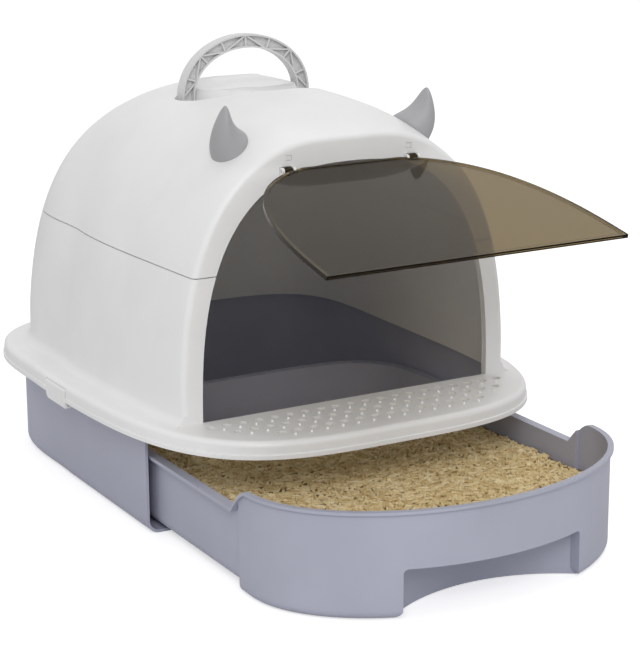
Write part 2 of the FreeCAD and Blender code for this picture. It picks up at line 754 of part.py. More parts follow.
def make_flap_bracket(side):
    """A clip behind the face, with two plates that reach through slots to the pin."""
    inner = BARREL_LENGTH / 2 + GAP
    width = inner + BRACKET_PLATE
    x = side * BARREL_PLACE
    back = FACE + WALL + GAP
    rise = HINGE_Z + BARREL_RADIUS + 4 * BRACKET_PLATE
    low = HINGE_Z - BRACKET_NOSE_RADIUS
    high = HINGE_Z + BRACKET_NOSE_RADIUS
    body = block(x - width, x + width, back, back + BRACKET_PLATE, HINGE_Z, rise)
    for end in (-1, 1):
        near = x + end * inner
        far = x + end * width
        plate = block(near, far, HINGE_Y, back + BRACKET_PLATE, low, high)
        nose = rod_x(BRACKET_NOSE_RADIUS, near, far, HINGE_Y, HINGE_Z)
        body = body.fuse(plate).fuse(nose)
    snap_low = HINGE_Z + BARREL_RADIUS + 2 * BRACKET_PLATE + GAP
    snap_high = snap_low + 2 * BRACKET_PLATE - 2 * GAP
    half = BARREL_LENGTH / 3 - GAP
    shift = side * BRACKET_PLATE
    snap = block(x - shift - half, x - shift + half, FACE + GAP, back + GAP, snap_low, snap_high)
    bore = rod_x(FLAP_PIN_RADIUS, x - 2 * width, x + 2 * width, HINGE_Y, HINGE_Z)
    return joined(body.fuse(snap).cut(bore))


def make_flap_pin(side):
    half = BARREL_LENGTH / 2 + GAP + BRACKET_PLATE
    x = side * BARREL_PLACE
    return rod_x(FLAP_PIN_RADIUS, x - half, x + half, HINGE_Y, HINGE_Z)


# The carrying handle: a half ring with an I section and a truss of ribs


def half_ring(outer_drop, inner_drop, y0, y1):
    """A half ring between two curves, drawn in from the handle's outer edge."""
    rise = HANDLE_TOP - HANDLE_LEG_START
    leg = DECK_HEIGHT + HANDLE_LEG_START
    outer = ring_edge(HANDLE_HALF_WIDTH - outer_drop, rise - outer_drop, leg, y0)
    inner = ring_edge(HANDLE_HALF_WIDTH - inner_drop, rise - inner_drop, leg, y0)
    low = HANDLE_Z
    outer_x = HANDLE_HALF_WIDTH - outer_drop
    inner_x = HANDLE_HALF_WIDTH - inner_drop
    corners = [
        vec(outer_x, y0, leg),
        vec(outer_x, y0, low),
        vec(inner_x, y0, low),
        vec(inner_x, y0, leg),
    ]
    edges = [outer, inner]
    for i in range(3):
        edges.append(Part.makeLine(corners[i], corners[i + 1]))
        left_start = vec(-corners[i].x, y0, corners[i].z)
        left_end = vec(-corners[i + 1].x, y0, corners[i + 1].z)
        edges.append(Part.makeLine(left_start, left_end))
    wire = Part.Wire(Part.__sortEdges__(edges))
    return Part.Face(wire).extrude(vec(0, y1 - y0, 0))


def ring_edge(half_x, rise, base, y):
    points = [vec(x, y, base + z) for x, z in oval_points(half_x, rise, 2, -90, 90, 24)]
    return smooth_edge(points)


def ring_point(angle, drop):
    """A point of the handle's band: an angle from straight up, and a depth from its outer edge."""
    rise = HANDLE_TOP - HANDLE_LEG_START - drop
    turn = math.radians(angle)
    x = (HANDLE_HALF_WIDTH - drop) * math.sin(turn)
    z = DECK_HEIGHT + HANDLE_LEG_START + rise * math.cos(turn)
    return x, z


def rib_between(first, second):
    """A straight rib across the handle's depth, from one point of the band to another."""
    x0, z0 = first
    x1, z1 = second
    run = math.hypot(x1 - x0, z1 - z0)
    px = (z1 - z0) / run * HANDLE_RIB / 2
    pz = -(x1 - x0) / run * HANDLE_RIB / 2
    y = HANDLE_Y - HANDLE_DEPTH / 2 + HANDLE_RIM / 2
    corners = [
        vec(x0 + px, y, z0 + pz),
        vec(x1 + px, y, z1 + pz),
        vec(x1 - px, y, z1 - pz),
        vec(x0 - px, y, z0 - pz),
    ]
    wire = Part.makePolygon(corners + corners[:1])
    return Part.Face(wire).extrude(vec(0, HANDLE_DEPTH - HANDLE_RIM, 0))


def handle_ribs():
    """Posts across the band and the slanting ribs between them, on both halves."""
    outer = HANDLE_RIM / 2
    inner = HANDLE_BAND - HANDLE_RIM / 2
    angles = HANDLE_POST_ANGLES
    ribs = [rib_between(ring_point(angles[0], outer), ring_point(angles[0], inner))]
    for side in (1, -1):
        for i in range(1, len(angles)):
            angle = side * angles[i]
            start_drop, end_drop = (outer, inner) if i % 2 else (inner, outer)
            start = ring_point(side * angles[i - 1], start_drop)
            ribs.append(rib_between(start, ring_point(angle, end_drop)))
            if i < len(angles) - 1:
                ribs.append(rib_between(ring_point(angle, outer), ring_point(angle, inner)))
    return ribs


def make_handle():
    front = HANDLE_Y - HANDLE_DEPTH / 2
    back = HANDLE_Y + HANDLE_DEPTH / 2
    web_front = HANDLE_Y - HANDLE_WEB / 2
    web_back = HANDLE_Y + HANDLE_WEB / 2
    handle = half_ring(0, HANDLE_RIM, front, back)
    handle = handle.fuse(half_ring(HANDLE_BAND - HANDLE_RIM, HANDLE_BAND, front, back))
    handle = handle.fuse(half_ring(HANDLE_RIM / 2, HANDLE_BAND - HANDLE_RIM / 2, web_front, web_back))
    for rib in handle_ribs():
        handle = handle.fuse(rib)
    bore_radius = HANDLE_PIN_RADIUS + PIN_CLEARANCE
    for side in (-1, 1):
        near = side * (HANDLE_HALF_WIDTH - HANDLE_BAND)
        far = side * HANDLE_HALF_WIDTH
        foot = rod_x(HANDLE_DEPTH / 2, near, far, HANDLE_Y, HANDLE_Z)
        bore = rod_x(bore_radius, near - side * OVERRUN, far + side * OVERRUN, HANDLE_Y, HANDLE_Z)
        handle = handle.fuse(foot).cut(bore)
    return largest_solid(handle)


def make_handle_pin(side):
    near = side * (HANDLE_HALF_WIDTH - HANDLE_BAND)
    far = side * (HANDLE_HALF_WIDTH + RECESS_SIDE_GAP + HANDLE_PIN_SEAT - WALL / 2 - GAP)
    return rod_x(HANDLE_PIN_RADIUS, near, far, HANDLE_Y, HANDLE_Z)


# Ears: pointed and leaning, each with a peg that goes through the crown


def ear_ring(side, share):
    """An oval of the ear, square to the crown's slope. The share is 0 at its base and 1 at its tip."""
    tilt = math.radians(EAR_TILT)
    downhill = vec(side * math.cos(tilt), 0, -math.sin(tilt))
    base = vec(side * EAR_PLACE, FACE + EAR_SETBACK, DECK_HEIGHT + EAR_BASE_HEIGHT)
    tip = vec(side * EAR_TIP_X, FACE + EAR_TIP_SETBACK, DECK_HEIGHT + EAR_TIP_HEIGHT)
    if share > 0:
        size = power(1 - share, EAR_POINT_SHARE)
    else:
        size = math.cos(math.pi / 2 * share * EAR_CLOSING_SHARE)
    belly = EAR_BELLY * math.sin(math.pi * max(share, 0))
    centre = base + (tip - base) * share + downhill * belly
    points = []
    for i in range(16):
        angle = 2 * math.pi * i / 16
        along = downhill * (EAR_HALF_SLOPE * size * math.cos(angle))
        points.append(centre + along + vec(0, EAR_HALF_DEPTH * size * math.sin(angle), 0))
    return Part.Wire([smooth_edge(points, True)])


def make_ear(side, outer):
    """A pointed ear that sits flush on the crown, with a peg through the hood's wall."""
    rings = []
    for i in range(EAR_RINGS + 1):
        run = EAR_TIP_SHARE + EAR_ROOT_SHARE
        rings.append(ear_ring(side, run * math.sin(math.pi / 2 * i / EAR_RINGS) - EAR_ROOT_SHARE))
    body = largest_solid(Part.makeLoft(rings, True, False).cut(outer))
    surface, lean = ear_axis(side, outer)
    peg = Part.makeCylinder(EAR_PEG_RADIUS, 2 * EAR_PEG_LENGTH, surface - lean * EAR_PEG_LENGTH, lean)
    return largest_solid(body.fuse(peg))


def make_ear_clip(side, outer):
    """A round push-on clip on the peg, under the hood's wall."""
    surface, lean = ear_axis(side, outer)
    start = surface - lean * (2 * WALL + EAR_CLIP_THICKNESS)
    disc = Part.makeCylinder(EAR_CLIP_RADIUS, EAR_CLIP_THICKNESS, start, lean)
    through = start - lean * EAR_CLIP_THICKNESS
    return disc.cut(Part.makeCylinder(EAR_PEG_RADIUS, 3 * EAR_CLIP_THICKNESS, through, lean))


# Side latches: a plate that hangs in the skirt's notch and hooks under the tub's catch


def make_latch(side):
    y0 = -LATCH_CENTRE - LATCH_LENGTH / 2
    y1 = -LATCH_CENTRE + LATCH_LENGTH / 2
    low = DECK_HEIGHT - LATCH_HANG
    face = side * LATCH_FACE
    knuckle = rod_y(LATCH_KNUCKLE_RADIUS, y0, y1, side * LATCH_X, LATCH_Z)
    plate = block(side * (LATCH_FACE - LATCH_PLATE), face, y0, y1, low, LATCH_Z)
    hook = block(side * (LATCH_FACE - LATCH_HOOK_REACH), face, y0, y1, low, low + LATCH_PLATE)
    bore_radius = LATCH_PIN_RADIUS + PIN_CLEARANCE
    bore = rod_y(bore_radius, y0 - OVERRUN, y1 + OVERRUN, side * LATCH_X, LATCH_Z)
    latch = knuckle.fuse(plate).fuse(hook).cut(bore)
    return largest_solid(latch.cut(latch_corner(side, y1, low)))


def latch_corner(side, rear, low):
    """What the latch's rounded lower rear corner leaves out."""
    near = side * (LATCH_FACE - LATCH_HOOK_REACH - OVERRUN)
    far = side * (LATCH_FACE + OVERRUN)
    y = rear - LATCH_CORNER
    z = low + LATCH_CORNER
    return block(near, far, y, rear + OVERRUN, low - OVERRUN, z).cut(rod_x(LATCH_CORNER, near, far, y, z))


def make_latch_pin(side):
    front = LATCH_WINDOW_FRONT - LATCH_LUG_LENGTH
    rear = LATCH_WINDOW_REAR + LATCH_LUG_LENGTH
    return rod_y(LATCH_PIN_RADIUS, front, rear, side * LATCH_X, LATCH_Z)


# Litter drawer: a tray, and a tall rounded front that closes the tub


def drawer_rear():
    """The tray's rear reach in the tub, before the drawer is pulled out."""
    return TUB_REAR - WALL - DRAWER_RIM_REACH - 2 * GAP


def front_outline(half_x, depth, z, straight):
    """The front's plan: a half oval with short straight sides."""
    centre = -FRONT_CENTRE_AHEAD
    points = [vec(x, centre + y, z) for x, y in oval_points(half_x, depth, 2, 90, 270, 24)]
    right_back = vec(half_x, centre + straight, z)
    left_back = vec(-half_x, centre + straight, z)
    return [
        smooth_edge(points),
        Part.makeLine(points[-1], left_back),
        Part.makeLine(left_back, right_back),
        Part.makeLine(right_back, points[0]),
    ]


def front_block(inset, z0, z1, straight, round_radius):
    """The front's solid form, rounded along its lower edge."""
    outline = front_outline(FRONT_HALF_WIDTH - inset, FRONT_DEPTH - inset, z0, straight)
    body = prism(outline, vec(0, 0, z1 - z0))
    if round_radius <= 0:
        return body
    back = -FRONT_CENTRE_AHEAD + straight
    return rounded(
        body,
        round_radius,
        lambda edge: lies_at_height(edge, z0) and edge.BoundBox.YMin < back - GAP,
    )


def tray_form(inset, z0, z1, round_radius):
    """The tray's solid form behind the front."""
    front = FRONT_CENTRE_AHEAD - FRONT_STRAIGHT / 2 + inset
    return tray_block(DRAWER_HALF_WIDTH - inset, front, drawer_rear() - inset, z0, z1, round_radius)


def notch_form(grow, z1):
    """The finger notch under the front, with a curved back and a foot that flares out."""
    front = -FRONT_CENTRE_AHEAD - FRONT_DEPTH
    back = front + NOTCH_DEPTH + grow
    half = NOTCH_HALF_WIDTH + grow
    top = z1 + grow
    body = block(-half, half, front - OVERRUN, back + OVERRUN, -OVERRUN, top)
    body = rounded(
        body,
        NOTCH_TOP_ROUND,
        lambda edge: lies_at_height(edge, top) and edge.BoundBox.XLength < GAP,
    )
    corner_x = half + NOTCH_FOOT_ROUND
    corner_z = DRAWER_FLOOR_GAP + NOTCH_FOOT_ROUND + grow
    foot = block(-corner_x, corner_x, front - OVERRUN, back + OVERRUN, -OVERRUN, corner_z)
    start = front - 2 * OVERRUN
    end = back + 2 * OVERRUN
    for side in (-1, 1):
        foot = foot.cut(rod_y(NOTCH_FOOT_ROUND, start, end, side * corner_x, corner_z))
    radius = NOTCH_BACK_RADIUS + grow
    bowl = Part.makeCylinder(radius, top + 3 * OVERRUN, vec(0, back - radius, -2 * OVERRUN))
    return body.fuse(foot).common(bowl)


def drawer_cavity(inset, floor, top):
    """The space inside the drawer, drawn in from its walls."""
    inner_round = DRAWER_BOTTOM_ROUND - WALL
    tray = tray_form(inset, floor, top, inner_round)
    front = front_block(inset, floor, top, FRONT_STRAIGHT - inset, inner_round)
    notch = notch_form(inset, NOTCH_HEIGHT)
    return tray.fuse(front).cut(notch)


def rise_places(drop):
    """The sweep of the wall's top from the low side rim to the tall front, as (y, z) places."""
    start = -FRONT_CENTRE_AHEAD + FRONT_STRAIGHT + RIM_RISE_BEHIND
    height = FRONT_RIM_HEIGHT - DRAWER_RIM_HEIGHT
    places = []
    for i in range(RIM_RISE_STEPS + 1):
        share = i / RIM_RISE_STEPS
        rise = height * (1 - power(1 - share, RIM_RISE_SHARE))
        places.append((start - RIM_RISE_LENGTH * share, DRAWER_RIM_HEIGHT + rise - drop))
    return places


def above_rise():
    """All that lies above the sweep, behind the front's full height."""
    sweep = rise_places(0.0)
    low_y, low_z = sweep[0]
    high_y, high_z = sweep[-1]
    back = low_y + OVERRUN
    roof = high_z + OVERRUN
    reach = 2 * FRONT_HALF_WIDTH
    return side_profile(sweep + [(high_y, roof), (back, roof), (back, low_z)], -reach, reach)


def rise_wall(side):
    """The wall under the sweep, between the tray's side and the front."""
    sweep = rise_places(0.0)
    foot = DRAWER_RIM_HEIGHT - RIM_THICKNESS
    outline = sweep + [(sweep[-1][0], foot), (sweep[0][0], foot)]
    return side_profile(outline, side * (DRAWER_HALF_WIDTH - WALL), side * DRAWER_HALF_WIDTH)


def rise_rim(side):
    """The thin rim along the sweep, which joins the side rim to the front's rim."""
    outline = rise_places(0.0) + rise_places(RIM_THICKNESS)[::-1]
    near = side * (DRAWER_HALF_WIDTH - WALL)
    strip = side_profile(outline, near, side * (FRONT_HALF_WIDTH + FRONT_RIM_REACH + OVERRUN))
    low = DRAWER_RIM_HEIGHT - 2 * RIM_THICKNESS
    high = FRONT_RIM_HEIGHT + OVERRUN
    tray = tray_form(-DRAWER_RIM_REACH, low, high, 0)
    front = front_block(-FRONT_RIM_REACH, low, high, FRONT_STRAIGHT, 0)
    return strip.common(tray.fuse(front))


def make_drawer():
    side_rim_low = DRAWER_RIM_HEIGHT - RIM_THICKNESS
    front_rim_low = FRONT_RIM_HEIGHT - FRONT_RIM_THICKNESS
    body = tray_form(0.0, DRAWER_BASE, DRAWER_RIM_HEIGHT, DRAWER_BOTTOM_ROUND)
    rise_start = rise_places(0.0)[0][0]
    reach = 2 * (FRONT_CENTRE_AHEAD + FRONT_DEPTH)
    ahead = block(-reach, reach, -reach, rise_start, side_rim_low - OVERRUN, DRAWER_RIM_HEIGHT + OVERRUN)
    body = body.fuse(tray_form(-DRAWER_RIM_REACH, side_rim_low, DRAWER_RIM_HEIGHT, 0).cut(ahead))
    low = DRAWER_FLOOR_GAP
    body = body.fuse(front_block(0.0, low, FRONT_RIM_HEIGHT, FRONT_STRAIGHT, FRONT_BOTTOM_ROUND))
    body = body.fuse(front_block(-FRONT_RIM_REACH, front_rim_low, FRONT_RIM_HEIGHT, FRONT_STRAIGHT, 0))
    body = body.cut(above_rise())
    for side in (-1, 1):
        body = body.fuse(rise_wall(side)).fuse(rise_rim(side))
    body = body.cut(drawer_cavity(WALL, DRAWER_BASE + WALL, FRONT_RIM_HEIGHT + OVERRUN))
    body = largest_solid(body.cut(notch_form(0.0, NOTCH_HEIGHT)))
    body.translate(vec(0, -DRAWER_TRAVEL, 0))
    return body


def make_litter():
    """The bed of pellets, a little clear of the drawer's walls, which slopes down at the rear."""
    bed = drawer_cavity(WALL + GAP, DRAWER_BASE + WALL + GAP, LITTER_LEVEL)
    rear = drawer_rear()
    crest = rear - LITTER_SLOPE_LENGTH
    roof = LITTER_LEVEL + OVERRUN
    reach = 2 * DRAWER_HALF_WIDTH
    dip = ((crest, LITTER_LEVEL), (rear, LITTER_REAR_LEVEL), (rear, roof), (crest, roof))
    bed = bed.cut(side_profile(dip, -reach, reach))
    bed.translate(vec(0, -DRAWER_TRAVEL, 0))
    return largest_solid(bed)


# Scoop: a slotted pan with low front and high back, and a flat handle


def scoop_pan_outline(inset, mouth, z):
    """The pan's plan, with rounded rear corners. The pan's mouth points to -X."""
    half = SCOOP_PAN_WIDTH / 2 - inset
    length = SCOOP_PAN_LENGTH - inset
    radius = SCOOP_CORNER - inset
    corner = radius * (1 - math.sqrt(0.5))
    near_corner = vec(length - corner, -half + corner, z)
    far_corner = vec(length - corner, half - corner, z)
    near_start = vec(length - radius, -half, z)
    near_end = vec(length, -half + radius, z)
    far_start = vec(length, half - radius, z)
    far_end = vec(length - radius, half, z)
    return [
        Part.makeLine(vec(mouth, -half, z), near_start),
        Part.Arc(near_start, near_corner, near_end).toShape(),
        Part.makeLine(near_end, far_start),
        Part.Arc(far_start, far_corner, far_end).toShape(),
        Part.makeLine(far_end, vec(mouth, half, z)),
        Part.makeLine(vec(mouth, half, z), vec(mouth, -half, z)),
    ]


def scoop_slots():
    slots = []
    for row in range(3):
        for column in range(-2, 3):
            x = SCOOP_PAN_LENGTH / 2 + (row - 1) * SCOOP_ROW_PITCH
            y = column * SCOOP_SLOT_PITCH
            run = (SCOOP_SLOT_LENGTH - SCOOP_SLOT_WIDTH) / 2
            half = SCOOP_SLOT_WIDTH / 2
            slots.append(block(x - run, x + run, y - half, y + half, -OVERRUN, SCOOP_WALL + OVERRUN))
            for end in (-1, 1):
                place = vec(x + end * run, y, -OVERRUN)
                slots.append(Part.makeCylinder(half, SCOOP_WALL + 2 * OVERRUN, place))
    return slots


def make_scoop():
    pan = prism(scoop_pan_outline(0.0, 0.0, 0.0), vec(0, 0, SCOOP_SIDE_HEIGHT))
    hollow = prism(scoop_pan_outline(SCOOP_WALL, -OVERRUN, SCOOP_WALL), vec(0, 0, SCOOP_SIDE_HEIGHT))
    pan = pan.cut(hollow)
    slope_end = SCOOP_PAN_LENGTH - SCOOP_CORNER
    roof = 2 * SCOOP_SIDE_HEIGHT
    width = SCOOP_PAN_WIDTH
    corners = [
        vec(-OVERRUN, -width, SCOOP_FRONT_HEIGHT),
        vec(slope_end, -width, SCOOP_SIDE_HEIGHT),
        vec(slope_end, -width, roof),
        vec(-OVERRUN, -width, roof),
    ]
    pan = pan.cut(Part.Face(Part.makePolygon(corners + corners[:1])).extrude(vec(0, 2 * width, 0)))
    for slot in scoop_slots():
        pan = pan.cut(slot)
    scoop = pan.fuse(scoop_handle())
    hole = Part.makeCylinder(SCOOP_SLOT_WIDTH / 3, SCOOP_SIDE_HEIGHT, vec(scoop_end_x(), 0, 0))
    scoop = largest_solid(joined(scoop.cut(hole)))
    behind = DECK_REAR + LIP_PROUD + SCOOP_BEHIND
    scoop.translate(vec(SCOOP_PLACE - SCOOP_PAN_LENGTH, behind + SCOOP_PAN_WIDTH / 2, 0))
    return scoop


def scoop_end_x():
    """Where the handle's hanging hole is."""
    return SCOOP_PAN_LENGTH + SCOOP_HANDLE_LENGTH - SCOOP_HANDLE_END


def scoop_handle():
    """A flat tapered bar that leaves the pan's rear wall near its top and ends round."""
    top = SCOOP_SIDE_HEIGHT
    low = top - SCOOP_HANDLE_THICKNESS
    start = SCOOP_PAN_LENGTH - SCOOP_WALL / 2
    end = SCOOP_PAN_LENGTH + SCOOP_HANDLE_LENGTH - SCOOP_HANDLE_END / 2
    root = SCOOP_HANDLE_ROOT / 2
    tip = SCOOP_HANDLE_END / 2
    corners = [vec(start, -root, low), vec(end, -tip, low), vec(end, tip, low), vec(start, root, low)]
    bar = Part.Face(Part.makePolygon(corners + corners[:1])).extrude(vec(0, 0, SCOOP_HANDLE_THICKNESS))
    return bar.fuse(Part.makeCylinder(tip, SCOOP_HANDLE_THICKNESS, vec(end, 0, low)))


def export_parts():
    """Builds every piece once and writes one file for each."""
    outer, inner, shell = make_hood_shell()
    pieces = {
        "base_tub": make_tub(),
        "lower_hood": make_lower_hood(shell),
        "upper_hood": make_upper_hood(outer, inner, shell),
        "flap_panel": make_flap(),
        "carry_handle": make_handle(),
        "drawer_pan": make_drawer(),
        "litter_fill": make_litter(),
        "scoop": make_scoop(),
    }
    for name, side in (("left", -1), ("right", 1)):
        pieces["flap_bracket_" + name] = make_flap_bracket(side)
        pieces["flap_pin_" + name] = make_flap_pin(side)
        pieces["handle_pin_" + name] = make_handle_pin(side)
        pieces["ear_" + name] = make_ear(side, outer)
        pieces["ear_clip_" + name] = make_ear_clip(side, outer)
        pieces["side_latch_" + name] = make_latch(side)
        pieces["latch_pin_" + name] = make_latch_pin(side)
    os.makedirs("parts", exist_ok=True)
    for name, shape in pieces.items():
        box = shape.BoundBox
        print(name, len(shape.Solids), shape.isValid(), round(shape.Volume / 1000, 2), box)
        shape.exportStep("parts/" + name + ".step")


export_parts()
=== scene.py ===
import math
import random

import bmesh
import bpy
from mathutils import Matrix, Vector, noise


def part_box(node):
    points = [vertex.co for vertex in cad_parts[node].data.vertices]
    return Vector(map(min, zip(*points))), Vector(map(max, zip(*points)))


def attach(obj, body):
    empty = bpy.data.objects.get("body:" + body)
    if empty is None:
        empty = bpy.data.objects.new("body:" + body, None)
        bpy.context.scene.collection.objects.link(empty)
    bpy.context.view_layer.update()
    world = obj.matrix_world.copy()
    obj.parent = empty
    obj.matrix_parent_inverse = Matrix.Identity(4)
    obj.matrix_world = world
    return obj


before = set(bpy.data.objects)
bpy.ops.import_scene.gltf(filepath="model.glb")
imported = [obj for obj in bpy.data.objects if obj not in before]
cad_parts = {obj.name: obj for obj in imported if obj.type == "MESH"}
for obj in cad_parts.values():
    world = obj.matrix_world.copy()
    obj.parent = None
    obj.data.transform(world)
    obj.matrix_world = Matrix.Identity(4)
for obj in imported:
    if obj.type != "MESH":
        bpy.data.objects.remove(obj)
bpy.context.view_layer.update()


# Tub and drawer. Both are injection-moulded polypropylene in one lavender grey. The tub stands on
# the floor, and the drawer slides in it on two low runners.
GREY_LAVENDER = "#B1B3C3"
GREY_LAVENDER_CLOUDED = "#AAACBC"
GRAIN_SPACING_MM = 0.9
CLOUD_SCALE = 9.0
CRISP_ANGLE = 32
WELD_REACH = 0.00001


def linear(hex_colour):
    """Turns an sRGB hex colour to the linear value that a shader takes."""
    channels = [int(hex_colour[i:i + 2], 16) / 255 for i in (1, 3, 5)]
    return [c / 12.92 if c <= 0.04045 else ((c + 0.055) / 1.055) ** 2.4 for c in channels] + [1.0]


def add_node(tree, kind, settings=None, links=None):
    """Adds a node, sets its properties and sockets, and links its inputs."""
    node = tree.nodes.new(kind)
    for name, value in (settings or {}).items():
        if name in node.inputs:
            node.inputs[name].default_value = value
        else:
            setattr(node, name, value)
    for name, output in (links or {}).items():
        tree.links.new(output, node.inputs[name])
    return node


def new_material(name):
    """An empty material with its output, and its tree."""
    material = bpy.data.materials.new(name)
    material.use_nodes = True
    tree = material.node_tree
    tree.nodes.clear()
    return material, tree, add_node(tree, "ShaderNodeOutputMaterial")


# Injection-moulded polypropylene, fine spark-eroded grain: it gives a soft, broad sheen, and the
# colour is even with a faint cloudiness. The real grain is finer than the render can show, so it
# is drawn about twice as coarse.
def moulded_plastic(name, colour, darker, roughness, grain_depth_mm):
    material, tree, output = new_material(name)
    place = add_node(tree, "ShaderNodeTexCoord").outputs["Object"]
    cloud = add_node(
        tree,
        "ShaderNodeTexNoise",
        {"Scale": CLOUD_SCALE, "Detail": 3.0, "Roughness": 0.6},
        {"Vector": place},
    )
    tint = add_node(tree, "ShaderNodeValToRGB", {}, {"Fac": cloud.outputs["Fac"]})
    tint.color_ramp.elements[0].position = 0.3
    tint.color_ramp.elements[0].color = linear(darker)
    tint.color_ramp.elements[1].position = 0.62
    tint.color_ramp.elements[1].color = linear(colour)
    gloss = add_node(
        tree,
        "ShaderNodeMapRange",
        {"From Min": 0.3, "From Max": 0.7, "To Min": roughness - 0.04, "To Max": roughness + 0.05},
        {"Value": cloud.outputs["Fac"]},
    )
    grain = add_node(
        tree,
        "ShaderNodeTexNoise",
        {"Scale": 1000 / GRAIN_SPACING_MM, "Detail": 2.0, "Roughness": 0.5},
        {"Vector": place},
    )
    relief = add_node(
        tree,
        "ShaderNodeBump",
        {"Strength": 0.35, "Distance": grain_depth_mm / 1000},
        {"Height": grain.outputs["Fac"]},
    )
    shader = add_node(
        tree,
        "ShaderNodeBsdfPrincipled",
        {"IOR": 1.49},
        {
            "Base Color": tint.outputs["Color"],
            "Roughness": gloss.outputs["Result"],
            "Normal": relief.outputs["Normal"],
        },
    )
    tree.links.new(shader.outputs["BSDF"], output.inputs["Surface"])
    return material


def finish_node(name, material):
    """Gives a carried-over solid its finish, with smooth curves and crisp edges."""
    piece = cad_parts[name]
    piece.data.materials.clear()
    piece.data.materials.append(material)
    for face in piece.data.polygons:
        face.use_smooth = True
    weld = piece.modifiers.new("Weld", "WELD")
    weld.merge_threshold = WELD_REACH
    split = piece.modifiers.new("Crisp", "EDGE_SPLIT")
    split.split_angle = math.radians(CRISP_ANGLE)
    return piece


lavender_plastic = moulded_plastic(
    "moulded_polypropylene_lavender_grey", GREY_LAVENDER, GREY_LAVENDER_CLOUDED, 0.46, 0.05
)
for name in ("base_tub", "drawer_pan"):
    finish_node(name, lavender_plastic)


# Litter. Pressed plant-fibre pellets, 2.4 mm thick and 5 to 10 mm long, poured loose and roughly
# levelled. They lie in a random heap over the solid bed, which shows only in the gaps between them.
PELLET_RADIUS = 0.0012
PELLET_LENGTH = 0.0088
SHORTEST_SHARE = 0.6
LONGEST_SHARE = 1.15
PELLET_SIDES = 6
PELLET_LEAN = 0.16
PELLET_STEP = 0.0037
PELLET_SPREAD_SHARE = 1.25
PELLET_LEVEL = 0.0467
PELLET_LAYERS = 2
LAYER_HEIGHT = 0.0016
HEIGHT_PLAY = 0.0006
BROAD_SWELL = 0.0014
FINE_SWELL = 0.001
PELLET_INSET = 0.0016
PELLET_SLOPE_LENGTH = 0.062
PELLET_SLOPE_DROP = 0.021
DRAWER_TRAVEL = 0.154
REAR_ROUNDNESS = 4.8
FRONT_OVAL_DEPTH = 0.1085
FRONT_STRAIGHT = 0.013
TRAY_INSET = 0.0035
STRIP_BREAK = 0.03
LITTER_LOW, LITTER_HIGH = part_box("litter_fill")


def heap_height(x, y):
    """The height of the poured bed, which slopes down towards the drawer's rear."""
    broad = noise.noise(Vector((x * 14, y * 14, 0.4)))
    fine = noise.noise(Vector((x * 60, y * 60, 2.1)))
    crest = LITTER_HIGH.y - PELLET_SLOPE_LENGTH
    drop = max(y - crest, 0) * PELLET_SLOPE_DROP / PELLET_SLOPE_LENGTH
    return PELLET_LEVEL + BROAD_SWELL * broad + FINE_SWELL * fine - drop


def litter_reach(y):
    """Half the bed's width at a place along the drawer, or none past its ends."""
    half = (LITTER_HIGH.x - LITTER_LOW.x) / 2 - PELLET_INSET
    front_centre = LITTER_LOW.y + FRONT_OVAL_DEPTH
    if y < front_centre:
        share = (front_centre - y) / (FRONT_OVAL_DEPTH - PELLET_INSET)
        return half * math.sqrt(max(1 - share * share, 0))
    if y < front_centre + FRONT_STRAIGHT:
        return half
    rear_share = min(max(y + DRAWER_TRAVEL, 0) / (LITTER_HIGH.y + DRAWER_TRAVEL), 1)
    return (half - TRAY_INSET) * (1 - rear_share**REAR_ROUNDNESS) ** (1 / REAR_ROUNDNESS)


def in_bed(x, y):
    """Whether a place lies over the bed."""
    return abs(x) < litter_reach(y) and y < LITTER_HIGH.y - PELLET_INSET


def pellet_shape(turn, lean, length, place):
    """One pellet as a short rod, turned and put in its place."""
    shape = bmesh.new()
    bmesh.ops.create_cone(
        shape,
        cap_ends=True,
        cap_tris=False,
        segments=PELLET_SIDES,
        radius1=PELLET_RADIUS,
        radius2=PELLET_RADIUS,
        depth=length,
    )
    spin = Matrix.Rotation(turn, 4, "Z") @ Matrix.Rotation(math.pi / 2 + lean, 4, "Y")
    bmesh.ops.transform(shape, matrix=Matrix.Translation(place) @ spin, verts=shape.verts)
    mesh = bpy.data.meshes.new("pellet")
    shape.to_mesh(mesh)
    shape.free()
    return mesh


def pour_pellets(name, y_from, y_to, seed):
    """Fills a strip of the bed with loose pellets, as one piece."""
    chance = random.Random(seed)
    heap = bmesh.new()
    y = y_from
    while y < y_to:
        reach = litter_reach(y)
        x = -reach
        while x < reach:
            for layer in range(PELLET_LAYERS):
                px = x + chance.uniform(-0.5, 0.5) * PELLET_STEP
                py = y + chance.uniform(-0.5, 0.5) * PELLET_STEP
                z = heap_height(px, py) + layer * LAYER_HEIGHT + chance.uniform(-HEIGHT_PLAY, HEIGHT_PLAY)
                length = PELLET_LENGTH * chance.uniform(SHORTEST_SHARE, LONGEST_SHARE)
                turn, lean = chance.uniform(0, math.pi), chance.gauss(0, PELLET_LEAN)
                run_x, run_y = math.cos(turn) * length / 2, math.sin(turn) * length / 2
                if not (in_bed(px + run_x, py + run_y) and in_bed(px - run_x, py - run_y)):
                    continue
                mesh = pellet_shape(turn, lean, length, (px, py, z))
                heap.from_mesh(mesh)
                bpy.data.meshes.remove(mesh)
            x += PELLET_STEP * PELLET_SPREAD_SHARE
        y += PELLET_STEP * PELLET_SPREAD_SHARE
    mesh = bpy.data.meshes.new(name)
    heap.to_mesh(mesh)
    heap.free()
    piece = bpy.data.objects.new(name, mesh)
    bpy.context.scene.collection.objects.link(piece)
    return piece


